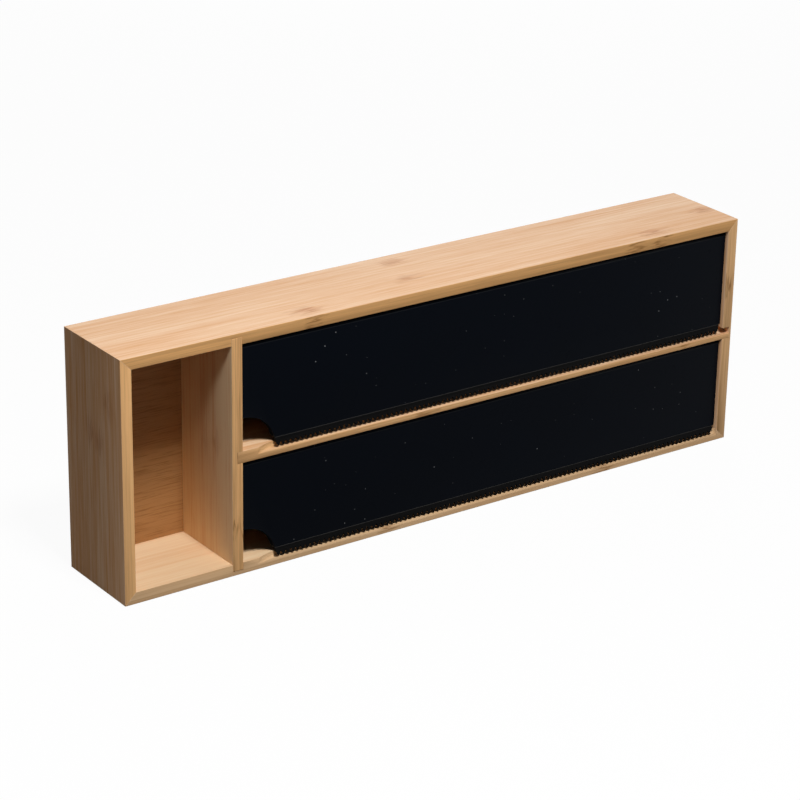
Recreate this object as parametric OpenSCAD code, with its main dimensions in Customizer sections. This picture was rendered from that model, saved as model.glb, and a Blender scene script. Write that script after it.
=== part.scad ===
// Dispenser for kitchen wrap and foil, for a wall, a counter or a drawer.
// A mitred bamboo case holds an open compartment on the left and two roll bays on the right.
// Each bay is closed by a flap that swings up on two pins and carries a toothed tear strip.
// Millimetres. The origin is the middle of the footprint, +Z is up and the front faces -Y.

/* [Case] */
// Overall width, left to right
case_w = 500; // [440:1:640]
// Overall depth, front to back
case_d = 70; // [62:1:90]
// Overall height
case_h = 167; // [155:1:200]
// Thickness of the bamboo boards
board_t = 8; // [7:0.5:10]
// Clear width of the open compartment
pocket_w = 72; // [50:1:100]
// Clear height of the lower bay
lower_bay_h = 70; // [62:1:78]

/* [Joinery] */
// Depth of the housings in the top and the bottom for the divider
divider_housing = 5; // [3:0.5:6]
// Depth of the housing in the divider for the shelf
shelf_housing_left = 4; // [2:0.5:4]
// Depth of the housing in the right side for the shelf
shelf_housing_right = 6; // [3:0.5:6]
// Glue gap in the housings, grooves, slots and kerfs
glue_gap = 0.1; // [0.05:0.05:0.2]
// Width of the splines that lock the mitres
spline_w = 6; // [4:0.5:7]
// Thickness of the splines
spline_t = 1.5; // [1:0.1:2]
// How far a spline stops short of the front edge and of the back panel
spline_stop = 8; // [5:0.5:15]

/* [Back] */
// Thickness of the back panel
back_t = 5; // [4.5:0.5:7]
// How far the back panel is set in from the rear edges
back_inset = 3; // [3:0.5:6]
// How far the back panel enters the boards around it
back_tongue = 3.5; // [2:0.5:4]

/* [Routed lips] */
// How far the lip lies below the face of its board
lip_drop = 4.5; // [3:0.5:5]
// Room behind the tear strip for the wrap to pass
wrap_gap = 2.2; // [1.5:0.1:4]
// Radius of the curve that ends a lip on the left
lip_curve_r = 85; // [60:1:110]
// Gap between the left end of the strip and the end of the lip, level with the strip's back
lip_end_gap = 2.3; // [1:0.1:4]

/* [Flaps] */
// Thickness of a flap
flap_t = 5; // [4.5:0.5:6]
// How far the flap's face lies behind the front edges
flap_setback = 2; // [1.5:0.1:3]
// Gap between the top of a flap and the board above
flap_top_gap = 0.8; // [0.7:0.1:1.5]
// Gap between the ends of a flap and the case
flap_side_gap = 1.2; // [0.8:0.1:2]
// Radius of the finger notch in the flap's lower left corner
notch_r = 25; // [24:0.5:30]

/* [Tear strips] */
// Visible height of the strip, teeth included
strip_h = 6.6; // [5:0.1:9]
// Thickness of the strip
strip_t = 2.3; // [2:0.1:2.6]
// How far the strip stands proud of the flap's face
strip_proud = 0.3; // [0.1:0.1:0.6]
// How far the strip stops short of the flap's right end
strip_end_gap = 1.8; // [0.5:0.1:4]
// Pitch of the teeth
tooth_pitch = 3.75; // [3:0.25:6]
// Height of the teeth
tooth_h = 3.4; // [2:0.1:4]
// Thickness of a tooth at its tip
tooth_tip_t = 0.6; // [0.4:0.1:1]
// Gap between the tips and the lip below
tip_gap = 1.2; // [0.8:0.1:1.6]
// Thickness of the tongue that enters the flap
tongue_t = 1; // [0.8:0.1:1.2]
// Height of the tongue
tongue_h = 3; // [2:0.5:4]

/* [Hinge pins] */
// Diameter of a pin
pin_d = 2.5; // [2:0.1:2.8]
// Length of pin pressed into the flap
pin_in_flap = 10; // [6:1:16]
// Length of pin that turns in the case
pin_in_case = 4; // [3:0.5:5]
// Running clearance around the pin, on the radius
pin_play = 0.05; // [0.03:0.01:0.08]
// Room beyond the end of the pin
pin_end_room = 0.5; // [0.3:0.1:1]
// Chamfer on the ends of the pin
pin_chamfer = 0.3; // [0.2:0.1:0.5]

/* [Hangers] */
// Distance between the two keyholes
hanger_spacing = 300; // [200:5:360]
// Gap between the top of a hanger plate and the board above
hanger_gap = 5.5; // [2:0.5:15]
// Width of a hanger plate
hanger_w = 18; // [16:0.5:22]
// Thickness of a hanger plate
hanger_t = 1.2; // [0.8:0.1:1.4]
// Diameter of the keyhole where the head of the wall screw enters
keyhole_d = 9; // [8:0.5:10]
// Width of the keyhole's neck
keyhole_neck_w = 4.5; // [3.5:0.5:5]
// Rise from the round hole to the top of the neck
keyhole_rise = 9; // [7:0.5:11]
// Room around the head of the wall screw, behind the plate
head_room = 1.5; // [0.5:0.5:2]
// Depth of that room in the back panel
head_room_depth = 4; // [2.5:0.5:4]
// Distance between the plate's two fixing screws
hanger_screw_spacing = 40; // [38:1:50]
// Diameter of a fixing screw's shank
screw_d = 2.4; // [2:0.1:2.8]
// Length of shank in the back panel
screw_bite = 4; // [3:0.5:4]
// Diameter of a fixing screw's head
screw_head_d = 5.6; // [5:0.1:6.5]
// Height of a fixing screw's head
screw_head_h = 1.4; // [1:0.1:1.5]
// Clearance around a fixing screw in its plate, on the radius
screw_play = 0.2; // [0.1:0.05:0.4]
// Length of the cross recess in a fixing screw's head
cross_len = 3; // [2:0.1:4]
// Width of the arms of the cross recess
cross_w = 0.8; // [0.6:0.1:1.2]
// Depth of the cross recess
cross_depth = 0.8; // [0.4:0.1:0.9]

/* [Hidden] */
$fn = 64;
// Length by which a cut runs past the face it opens
over = 1;

bamboo = [0.84, 0.65, 0.45];
dark_bamboo = [0.62, 0.42, 0.25];
gloss_black = [0.05, 0.06, 0.08];
satin_black = [0.09, 0.09, 0.10];
bright_steel = [0.75, 0.76, 0.78];

// Faces of the case
front_y = -case_d / 2;
rear_y = case_d / 2;
left_x = -case_w / 2;
right_x = case_w / 2;
inner_left = left_x + board_t;
inner_right = right_x - board_t;
inner_top = case_h - board_t;
divider_left = inner_left + pocket_w;
bay_left = divider_left + board_t;
shelf_bottom = board_t + lower_bay_h;
shelf_top = shelf_bottom + board_t;
back_rear = rear_y - back_inset;
back_front = back_rear - back_t;

// Splines sit square to the mitre, a little nearer the inner corner than the outer one
spline_share = 0.6;
spline_centre = board_t * spline_share;
spline_front = front_y + spline_stop;
spline_rear = back_front - spline_stop;

// Flaps and their hinge axes
flap_left = bay_left + flap_side_gap;
flap_right = inner_right - flap_side_gap;
flap_front = front_y + flap_setback;
hinge_y = flap_front + flap_t / 2;
hinge_drop = flap_top_gap + flap_t / 2;
upper_hinge_z = inner_top - hinge_drop;
lower_hinge_z = shelf_bottom - hinge_drop;
upper_tip_z = shelf_top - lip_drop + tip_gap;
lower_tip_z = board_t - lip_drop + tip_gap;

// Tear strips
strip_front = flap_front - strip_proud;
strip_back = strip_front + strip_t;
strip_left = flap_left + notch_r - tooth_pitch;
strip_right = flap_right - strip_end_gap;
tooth_count = floor((strip_right - strip_left) / tooth_pitch);
tooth_step = (strip_right - strip_left) / tooth_count;

// Routed lips, and the middle of the curve where a lip ends on the left
lip_rear = strip_back + wrap_gap;
lip_arc_reach = sqrt(pow(lip_curve_r, 2) - pow(lip_curve_r - wrap_gap, 2));
lip_arc_x = flap_left + notch_r - lip_end_gap + lip_arc_reach;
lip_arc_y = lip_rear - lip_curve_r;

// Hinge pins
pin_len = pin_in_case + flap_side_gap + pin_in_flap;

// Keyhole plates
hanger_xs = [-hanger_spacing / 2, hanger_spacing / 2];
hanger_mid_z = inner_top - hanger_gap - hanger_w / 2 - hanger_screw_spacing / 2;
hanger_screw_zs = [hanger_mid_z - hanger_screw_spacing / 2, hanger_mid_z + hanger_screw_spacing / 2];
keyhole_z = hanger_mid_z - keyhole_rise / 2;
neck_z = hanger_mid_z + keyhole_rise / 2;
hanger_rear = back_rear + hanger_t;
head_room_w = keyhole_d + 2 * head_room;
head_room_front = back_rear - head_room_depth;

// A box between two opposite corners
module block(low, high) {
    translate(low)
        cube(high - low);
}

// An outline in X and Z, run from one depth to another
module along_depth(from_y, to_y) {
    translate([0, to_y, 0])
        rotate([90, 0, 0])
            linear_extrude(to_y - from_y)
                children();
}

// An outline in Y and Z, run from one side to another
module along_width(from_x, to_x) {
    translate([from_x, 0, 0])
        rotate([90, 0, 90])
            linear_extrude(to_x - from_x)
                children();
}

// A round bar along X between two places
module bar_x(from_x, to_x, y, z, d) {
    translate([from_x, y, z])
        rotate([0, 90, 0])
            cylinder(d = d, h = to_x - from_x);
}

// A round bar along Y between two places
module bar_y(x, z, from_y, to_y, d) {
    translate([x, to_y, z])
        rotate([90, 0, 0])
            cylinder(d = d, h = to_y - from_y);
}

// The groove that the back panel's edges enter, as one ring through all four boards
module back_groove() {
    reach = back_tongue + glue_gap;
    block(
        [inner_left - reach, back_front, board_t - reach],
        [inner_right + reach, back_rear + glue_gap, inner_top + reach]
    );
}

// A slip of wood across one mitre, grown by a gap where it is a slot
module spline(side, up, gap) {
    corner_x = side < 0 ? left_x : right_x;
    corner_z = up < 0 ? 0 : case_h;
    middle = [corner_x - side * spline_centre, corner_z - up * spline_centre];
    along_depth(spline_front - gap, spline_rear + gap)
        translate(middle)
            rotate(side * up * -45)
                square([spline_w + 2 * gap, spline_t + 2 * gap], center = true);
}

// All four slots for the splines
module spline_slots() {
    for (side = [-1, 1], up = [-1, 1])
        spline(side, up, glue_gap);
}

// Outline of a top or bottom board, from the outer face at one height to the inner at another
module mitred_outline(outer_z, inner_z) {
    polygon([[left_x, outer_z], [right_x, outer_z], [inner_right, inner_z], [inner_left, inner_z]]);
}

// Outline of a left or right board
module mitred_side_outline(outer_x, inner_x) {
    polygon([[outer_x, 0], [outer_x, case_h], [inner_x, inner_top], [inner_x, board_t]]);
}

// The housings in the top and the bottom that take the divider's ends
module divider_housings() {
    reach = divider_housing + glue_gap;
    block(
        [divider_left, front_y - over, board_t - reach],
        [bay_left, back_front + over, inner_top + reach]
    );
}

// The housings in the divider and the right side that take the shelf's ends
module shelf_housings() {
    block(
        [bay_left - shelf_housing_left - glue_gap, front_y - over, shelf_bottom],
        [inner_right + shelf_housing_right + glue_gap, back_front + over, shelf_top]
    );
}

// The routed lip along the front of a board, from its curved end to a place on the right
module lip_cut(board_top, to_x) {
    translate([lip_arc_x, lip_arc_y, board_top - lip_drop])
        cylinder(r = lip_curve_r, h = lip_drop + over);
    block(
        [lip_arc_x, front_y - over, board_top - lip_drop],
        [to_x, lip_rear, board_top + over]
    );
}

// The blind holes for the hinge pins, in the divider and the right side
module pin_holes() {
    reach = pin_in_case + pin_end_room;
    for (z = [lower_hinge_z, upper_hinge_z])
        bar_x(bay_left - reach, inner_right + reach, hinge_y, z, pin_d + 2 * pin_play);
}

module top_panel() {
    color(bamboo)
        difference() {
            along_depth(front_y, rear_y)
                mitred_outline(case_h, inner_top);
            divider_housings();
            back_groove();
            spline_slots();
        }
}

module bottom_panel() {
    color(bamboo)
        difference() {
            along_depth(front_y, rear_y)
                mitred_outline(0, board_t);
            divider_housings();
            back_groove();
            spline_slots();
            lip_cut(board_t, inner_right);
        }
}

module left_side() {
    color(bamboo)
        difference() {
            along_depth(front_y, rear_y)
                mitred_side_outline(left_x, inner_left);
            back_groove();
            spline_slots();
        }
}

module right_side() {
    color(bamboo)
        difference() {
            along_depth(front_y, rear_y)
                mitred_side_outline(right_x, inner_right);
            back_groove();
            spline_slots();
            shelf_housings();
            pin_holes();
        }
}

module divider() {
    color(bamboo)
        difference() {
            block(
                [divider_left, front_y, board_t - divider_housing],
                [bay_left, back_front, inner_top + divider_housing]
            );
            shelf_housings();
            pin_holes();
        }
}

module shelf() {
    color(bamboo)
        difference() {
            block(
                [bay_left - shelf_housing_left, front_y, shelf_bottom],
                [inner_right + shelf_housing_right, back_front, shelf_top]
            );
            lip_cut(shelf_top, right_x);
        }
}

// Room behind the plates for the heads of the wall screws
module head_rooms() {
    for (x = hanger_xs) {
        for (z = [keyhole_z, neck_z])
            bar_y(x, z, head_room_front, back_rear + over, head_room_w);
        block(
            [x - head_room_w / 2, head_room_front, keyhole_z],
            [x + head_room_w / 2, back_rear + over, neck_z]
        );
    }
}

module back_panel() {
    color(dark_bamboo)
        difference() {
            block(
                [inner_left - back_tongue, back_front, board_t - back_tongue],
                [inner_right + back_tongue, back_rear, inner_top + back_tongue]
            );
            head_rooms();
            for (x = hanger_xs, z = hanger_screw_zs)
                bar_y(x, z, back_rear - screw_bite, back_rear + over, screw_d);
        }
}

module top_left_spline() {
    color(dark_bamboo)
        spline(-1, 1, 0);
}

module top_right_spline() {
    color(dark_bamboo)
        spline(1, 1, 0);
}

module bottom_left_spline() {
    color(dark_bamboo)
        spline(-1, -1, 0);
}

module bottom_right_spline() {
    color(dark_bamboo)
        spline(1, -1, 0);
}

// The finger notch at the lower left corner of a flap and its strip
module finger_notch(tip_z) {
    bar_y(flap_left, tip_z, front_y - over, hinge_y + flap_t, 2 * notch_r);
}

// A flap with a round top on the hinge axis, a kerf along its foot and a hole in each end
module flap(hinge_z, tip_z) {
    foot_z = tip_z + strip_h;
    color(gloss_black)
        difference() {
            along_width(flap_left, flap_right) {
                translate([flap_front, foot_z])
                    square([flap_t, hinge_z - foot_z]);
                translate([hinge_y, hinge_z])
                    circle(d = flap_t);
            }
            finger_notch(tip_z);
            block(
                [flap_left - over, strip_back - tongue_t - glue_gap, foot_z - over],
                [strip_right + glue_gap, strip_back + glue_gap, foot_z + tongue_h + glue_gap]
            );
            bar_x(flap_left - over, flap_left + pin_in_flap, hinge_y, hinge_z, pin_d);
            bar_x(flap_right - pin_in_flap, flap_right + over, hinge_y, hinge_z, pin_d);
        }
}

// Edge of the strip seen from the end: a blade that thins to the tips, and a tongue on top
module strip_profile(tip_z) {
    foot_z = tip_z + strip_h;
    polygon([
        [strip_front, foot_z],
        [strip_front, tip_z],
        [strip_front + tooth_tip_t, tip_z],
        [strip_back, tip_z + tooth_h],
        [strip_back, foot_z + tongue_h],
        [strip_back - tongue_t, foot_z + tongue_h],
        [strip_back - tongue_t, foot_z]
    ]);
}

// Face of the strip seen from the front, with its row of teeth
module strip_face(tip_z) {
    root_z = tip_z + tooth_h;
    top_z = tip_z + strip_h + tongue_h;
    teeth = [
        for (i = [0 : tooth_count - 1], half = [0, 1])
            [strip_left + (i + half / 2) * tooth_step, half == 0 ? root_z : tip_z]
    ];
    polygon(concat([[strip_left, top_z]], teeth, [[strip_right, root_z], [strip_right, top_z]]));
}

module cutter(tip_z) {
    color(satin_black)
        difference() {
            intersection() {
                along_width(strip_left, strip_right)
                    strip_profile(tip_z);
                along_depth(strip_front - over, strip_back + over)
                    strip_face(tip_z);
            }
            finger_notch(tip_z);
        }
}

// A hinge pin that starts at one place along X, with chamfered ends
module hinge_pin(from_x, hinge_z) {
    r = pin_d / 2;
    color(bright_steel)
        translate([from_x, hinge_y, hinge_z])
            rotate([0, 90, 0])
                rotate_extrude()
                    polygon([
                        [0, 0],
                        [r - pin_chamfer, 0],
                        [r, pin_chamfer],
                        [r, pin_len - pin_chamfer],
                        [r - pin_chamfer, pin_len],
                        [0, pin_len]
                    ]);
}

module left_pin(hinge_z) {
    hinge_pin(bay_left - pin_in_case, hinge_z);
}

module right_pin(hinge_z) {
    hinge_pin(inner_right + pin_in_case - pin_len, hinge_z);
}

module upper_flap() {
    flap(upper_hinge_z, upper_tip_z);
}

module upper_cutter() {
    cutter(upper_tip_z);
}

module upper_left_pin() {
    left_pin(upper_hinge_z);
}

module upper_right_pin() {
    right_pin(upper_hinge_z);
}

module lower_flap() {
    flap(lower_hinge_z, lower_tip_z);
}

module lower_cutter() {
    cutter(lower_tip_z);
}

module lower_left_pin() {
    left_pin(lower_hinge_z);
}

module lower_right_pin() {
    right_pin(lower_hinge_z);
}

// A steel plate with round ends, a keyhole in the middle and a screw hole at each end
module hanger(x) {
    color(bright_steel)
        difference() {
            union() {
                block(
                    [x - hanger_w / 2, back_rear, hanger_screw_zs[0]],
                    [x + hanger_w / 2, hanger_rear, hanger_screw_zs[1]]
                );
                for (z = hanger_screw_zs)
                    bar_y(x, z, back_rear, hanger_rear, hanger_w);
            }
            bar_y(x, keyhole_z, back_rear - over, hanger_rear + over, keyhole_d);
            bar_y(x, neck_z, back_rear - over, hanger_rear + over, keyhole_neck_w);
            block(
                [x - keyhole_neck_w / 2, back_rear - over, keyhole_z],
                [x + keyhole_neck_w / 2, hanger_rear + over, neck_z]
            );
            for (z = hanger_screw_zs)
                bar_y(x, z, back_rear - over, hanger_rear + over, screw_d + 2 * screw_play);
        }
}

// The two screws of one plate, with cross recesses in their heads
module hanger_screws(x) {
    head_rear = hanger_rear + screw_head_h;
    color(bright_steel)
        for (z = hanger_screw_zs)
            difference() {
                union() {
                    bar_y(x, z, back_rear - screw_bite, head_rear, screw_d);
                    bar_y(x, z, hanger_rear, head_rear, screw_head_d);
                }
                translate([x, head_rear, z]) {
                    cube([cross_len, 2 * cross_depth, cross_w], center = true);
                    cube([cross_w, 2 * cross_depth, cross_len], center = true);
                }
            }
}

module left_hanger() {
    hanger(hanger_xs[0]);
}

module right_hanger() {
    hanger(hanger_xs[1]);
}

module left_hanger_screws() {
    hanger_screws(hanger_xs[0]);
}

module right_hanger_screws() {
    hanger_screws(hanger_xs[1]);
}

top_panel();
bottom_panel();
left_side();
right_side();
divider();
shelf();
back_panel();
top_left_spline();
top_right_spline();
bottom_left_spline();
bottom_right_spline();
upper_flap();
upper_cutter();
upper_left_pin();
upper_right_pin();
lower_flap();
lower_cutter();
lower_left_pin();
lower_right_pin();
left_hanger();
right_hanger();
left_hanger_screws();
right_hanger_screws();
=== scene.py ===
"""Wrap and foil dispenser: the finish of its bamboo case, black flaps, tear strips and wall plates."""

from collections import namedtuple
from math import cos, floor, pi, radians, sin

import bmesh
import bpy
from bpy.props import FloatProperty, FloatVectorProperty, PointerProperty
from bpy.types import Operator, Panel, PropertyGroup
from mathutils import Euler, Matrix, Quaternion, Vector


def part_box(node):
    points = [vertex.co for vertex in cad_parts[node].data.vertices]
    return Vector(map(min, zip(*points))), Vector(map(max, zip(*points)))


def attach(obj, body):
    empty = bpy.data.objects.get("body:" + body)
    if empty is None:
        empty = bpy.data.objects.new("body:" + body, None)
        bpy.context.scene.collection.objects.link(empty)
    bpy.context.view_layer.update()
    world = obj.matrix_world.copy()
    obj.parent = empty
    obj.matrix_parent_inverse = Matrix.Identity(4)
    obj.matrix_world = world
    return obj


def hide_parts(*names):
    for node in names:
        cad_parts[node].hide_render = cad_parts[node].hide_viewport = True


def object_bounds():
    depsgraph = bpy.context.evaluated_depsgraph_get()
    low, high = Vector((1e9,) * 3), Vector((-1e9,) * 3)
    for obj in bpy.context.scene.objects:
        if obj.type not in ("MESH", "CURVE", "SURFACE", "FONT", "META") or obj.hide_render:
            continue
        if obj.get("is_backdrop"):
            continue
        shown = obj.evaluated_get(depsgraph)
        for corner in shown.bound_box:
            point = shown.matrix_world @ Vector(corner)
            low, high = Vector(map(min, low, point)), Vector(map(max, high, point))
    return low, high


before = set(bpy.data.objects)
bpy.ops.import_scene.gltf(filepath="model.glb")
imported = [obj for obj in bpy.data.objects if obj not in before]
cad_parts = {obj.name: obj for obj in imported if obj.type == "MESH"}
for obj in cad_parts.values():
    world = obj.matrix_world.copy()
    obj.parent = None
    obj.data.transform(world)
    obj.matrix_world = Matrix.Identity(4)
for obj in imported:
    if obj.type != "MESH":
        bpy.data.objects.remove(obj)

bl_info = {
    "name": "Wrap and foil dispenser",
    "version": (1, 0, 0),
    "blender": (4, 5, 0),
    "location": "3D View > Sidebar > Dispenser",
    "description": "Dresses the packed construction of a bamboo wrap and foil dispenser",
    "category": "Object",
}

CAD_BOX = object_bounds()
MM = 0.001
CASE = "case_body"
BAYS = {"upper": "upper_flap_body", "lower": "lower_flap_body"}
SIDES = ("left", "right")

# Height of the fine relief on wood, and on plastic and metal
WOOD_RELIEF = 0.15 * MM
SMOOTH_RELIEF = 0.05 * MM

# A board's grain runs along X, its strips lie side by side along Y and its layers stack along Z
# once it is turned by the angles of its lay
LAYS = {
    "flat": (0, 0, 0),
    "upright": (0, pi / 2, 0),
    "facing": (-pi / 2, 0, 0),
}

# Knuckles show on a board's faces, each with its place along and across the grain and its strength, and
# knots on its edges, each with its place along the grain. Places are in millimetres from the board's low
# corner. Depth is how much deeper than usual the colour of the faces is, and honey how far they lean to
# yellow. Edge is how much deeper the edges are, and warm how far they lean to orange. Grain is how strongly
# the fibres differ
Board = namedtuple(
    "Board", "node lay seed knuckles knots depth honey edge warm grain", defaults=(0.0, 0.0, 0.0, 0.0, 1.0)
)
BOARDS = (
    Board(
        "top_panel", "flat", seed=1, warm=0.9, grain=0.9, knots=(143, 407, 430),
        knuckles=((143, 11, 0.85), (232, 26, 0.65), (242, 57, 0.65), (431, 10, 0.85), (493, 29, 0.7)),
    ),
    # The bottom panel's paler, less orange edges are painted light thrown up from the floor
    Board(
        "bottom_panel", "flat", seed=2, depth=-0.18, honey=0.8, edge=-0.1, grain=0.45, knots=(203, 388),
        knuckles=((120, 52, 0.6), (284, 20, 0.8), (402, 44, 0.7)),
    ),
    # The left side's paler edges are a painted sheen
    Board(
        "left_side", "upright", seed=3, depth=0.24, edge=-0.27, warm=0.75, grain=1.1, knots=(),
        knuckles=((106, 38, 0.75), (102, 29, 0.75), (131, 17, 0.6)),
    ),
    Board(
        "right_side", "upright", seed=4, depth=0.1, edge=-0.14, warm=0.5, knots=(118,),
        knuckles=((62, 20, 0.8), (58, 40, 0.6), (121, 56, 0.7)),
    ),
    Board(
        "divider", "upright", seed=5, depth=-0.28, honey=1.0, warm=0.75, grain=1.2, knots=(30,),
        knuckles=((84, 20, 0.35), (79, 33, 0.25)),
    ),
    Board(
        "shelf", "flat", seed=6, honey=0.3, warm=0.55, knots=(150, 374),
        knuckles=((96, 30, 0.7), (301, 14, 0.7)),
    ),
)

# What the bamboo's node group is given: masks that a board's material works out, traits of the board, and
# colours of the bamboo settings
MASKS = ("Face", "Glue", "Knuckle", "Knot")
TRAITS = ("seed", "depth", "honey", "edge", "warm", "grain")
TINTS = ("pale", "deep", "honey", "edge_pale", "edge_warm", "edge_deep", "knuckle", "knot")

# The fibres of the cane from broad to fine, each with its waves to a millimetre along and across the grain,
# the detail and roughness of its noise, and its weight in a board's tone
Fibre = namedtuple("Fibre", "along across detail roughness weight")
FIBRES = {
    "band": Fibre(0.006, 0.16, 2.0, 0.5, weight=0.85),
    "streak": Fibre(0.011, 0.45, 3.0, 0.62, weight=1.2),
    "brush": Fibre(0.03, 1.1, 3.0, 0.6, weight=0.75),
    "hair": Fibre(0.05, 2.6, 2.0, 0.6, weight=0.6),
}


# Properties that a user would change

def linear(shown):
    """A colour written as it shows on screen, 0 to 255, as scene linear values."""
    shares = (value / 255 for value in shown)
    return tuple(s / 12.92 if s <= 0.04045 else ((s + 0.055) / 1.055) ** 2.4 for s in shares)


def kind_of(maker, convert=None, **options):
    """A kind of property that takes a name, a description and a default, which may need converting."""
    def kind(name, description, default):
        kept = convert(default) if convert else default
        return maker(name=name, description=description, default=kept, **options)
    return kind


def group_of(name, kind):
    """A group of settings, described as its class is."""
    return PointerProperty(name=name, description=kind.__doc__, type=kind)


# Lengths are written in millimetres and kept in metres, angles are written in degrees and colours as they
# show on screen. Positions and extents are in metres, wattages in watts and optics in millimetres
length = kind_of(FloatProperty, lambda mm: mm * MM, min=0.0, unit="LENGTH", precision=5)
angle = kind_of(FloatProperty, radians, subtype="ANGLE")
colour = kind_of(FloatVectorProperty, linear, size=3, min=0.0, max=1.0, subtype="COLOR")
share = kind_of(FloatProperty, min=0.0, max=1.0, subtype="FACTOR")
position = kind_of(FloatVectorProperty, size=3, subtype="TRANSLATION", unit="LENGTH")
extent = kind_of(FloatVectorProperty, size=2, min=0.0, unit="LENGTH")
wattage = kind_of(FloatProperty, min=0.0, unit="POWER")
optic = kind_of(FloatProperty, min=1.0, unit="CAMERA")


class BambooSettings(PropertyGroup):
    """Sizes and colours of the bamboo boards."""

    ease: length("Eased edge", "Width of the rounding on each free edge of a board", 0.4)
    hairline: length("Joint line", "Width of the rounding where two boards meet", 0.12)
    glue_w: length("Glue line", "Width of the pale line along a mitre", 0.5)
    strip_w: length("Strip width", "Width of one strip of bamboo in a board", 18)
    layer_t: length("Layer", "Thickness of one layer of strips in a board", 2.7)
    pale: colour("Pale strips", "The lightest fibres on a board's faces", (241, 205, 170))
    deep: colour("Deep strips", "The darkest fibres on a board's faces", (214, 150, 92))
    honey: colour("Honey strips", "The lightest fibres on the faces of a yellower board", (238, 210, 170))
    edge_pale: colour("Pale edge", "The lightest fibres on a board's edges", (241, 205, 162))
    edge_warm: colour("Warm edge", "The lightest fibres on the edges of a warmer board", (243, 184, 117))
    edge_deep: colour("Deep edge", "The darkest fibres on a board's edges", (192, 144, 94))
    knuckle: colour("Knuckles", "The knuckles of the cane on a board's faces", (182, 118, 76))
    knot: colour("Knots", "The knuckles on a board's edges, and the glue between its layers", (146, 96, 46))
    back_pale: colour("Pale back", "The ground of the back panel", (184, 136, 86))
    back_deep: colour("Deep back", "The dark streaks of the back panel", (136, 93, 54))


class FlapSettings(PropertyGroup):
    """Sizes and colours of the flaps."""

    ease: length("Eased edge", "Width of the rounding on a flap's edges", 0.5)
    black: colour("Black", "The body of the flap", (9, 13, 20))
    # The dust colour also paints the highlight line where each flap's round top begins
    dust: colour("Dust", "Specks of dust on the flap", (132, 134, 136))
    dust_cell: length("Dust spacing", "Room that each speck of dust has", 8)
    # Width of the painted highlight line where a flap's round top begins
    rub_w: length("Rub width", "Width of the rubbed line where a flap's round top begins", 0.8)


class StripSettings(PropertyGroup):
    """Sizes and colours of the toothed tear strips."""

    pitch: length("Tooth pitch", "Least distance from one tooth to the next", 3.75)
    tooth_h: length("Tooth height", "Height of a tooth from root to tip", 3.4)
    tip_t: length("Tip thickness", "Thickness of a tooth at its tip", 0.6)
    shoulder: length("Shoulder", "Height above the roots at which the strip has its full thickness", 0.4)
    tongue_t: length("Tongue thickness", "Thickness of the tongue in the flap's kerf", 1)
    tongue_h: length("Tongue height", "Height of the tongue in the flap's kerf", 3)
    notch_r: length("Notch radius", "Radius of the finger notch that ends the strip", 25)
    ease: length("Eased edge", "Width of the rounding on the strip's edges", 0.12)
    black: colour("Black", "The body of the strip", (11, 11, 12))
    worn: colour("Worn black", "Mould lines along the strip", (24, 23, 22))
    # Colour and width of the painted highlight along the top edge of the strip
    ridge: colour("Ridge", "The rubbed edge along the top of the strip", (52, 51, 50))
    ridge_w: length("Ridge width", "Width of the rubbed edge", 0.7)


class HardwareSettings(PropertyGroup):
    """Sizes and colours of the pins, wall plates and screws."""

    head_d: length("Head diameter", "Diameter of a screw's head", 5.6)
    head_h: length("Head height", "Height of a screw's head", 1.4)
    dome: length("Dome", "How far the head's rim lies below its middle", 0.5)
    shank_d: length("Shank diameter", "Diameter of a screw's shank", 2.4)
    cross_len: length("Cross length", "Length of the cross recess", 3)
    cross_w: length("Cross width", "Width of a slot of the cross recess", 0.8)
    cross_depth: length("Cross depth", "Depth of the cross recess", 0.8)
    plate_ease: length("Plate edge", "Width of the rounding on a plate's edges", 0.2)
    zinc: colour("Zinc", "Plating of the wall plates and screws", (196, 198, 200))
    steel: colour("Steel", "Drawn steel of the hinge pins", (188, 188, 190))


class StageSettings(PropertyGroup):
    """Camera, light and floor."""

    azimuth: angle("Azimuth", "Direction that the camera looks from, left of the front", -35.595)
    elevation: angle("Elevation", "Height of the camera above the horizon", 22.308)
    roll: angle("Roll", "Turn of the camera about its own axis", 0.988)
    camera_place: position("Camera place", "Where the camera stands", (-1.0388, -1.4305, 0.7982))
    lens: optic("Lens", "Focal length of the camera", 126.84)
    sensor: optic("Sensor", "Width of the camera's sensor", 36.0)
    key_place: position("Key place", "Where the key light hangs, high in front", (-0.23, -0.8, 1.42))
    key_size: extent("Key size", "Width and height of the key light", (0.28, 0.3))
    key_power: wattage("Key power", "Power of the key light", 22.6)
    side_place: position("Side place", "Where the light to the left stands", (-2.1, 0.5, 0.5))
    side_size: extent("Side size", "Width and height of the light to the left", (1.0, 0.8))
    side_power: wattage("Side power", "Power of the light to the left", 2.5)
    rear_place: position("Rear place", "Where the light behind stands, to the right", (1.3, 1.9, 0.6))
    rear_size: extent("Rear size", "Width and height of the light behind", (1.2, 0.8))
    rear_power: wattage("Rear power", "Power of the light behind", 16.0)
    ambient: share("Ambient", "Strength of the light from all round", 0.05)
    floor_tone: share("Floor tone", "Lightness of the floor in bounced light", 0.13)
    floor_shown: share("Floor shown", "Lightness of the floor to the eye, where it takes shadows", 0.95)
    floor_white: share("Floor white", "Share of plain white in the floor, beside its shadows", 0.95)


class DispenserSettings(PropertyGroup):
    """All the settings of the dispenser."""

    bamboo: group_of("Bamboo", BambooSettings)
    flaps: group_of("Flaps", FlapSettings)
    strips: group_of("Strips", StripSettings)
    hardware: group_of("Hardware", HardwareSettings)
    stage: group_of("Stage", StageSettings)


# Words for building node trees

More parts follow.
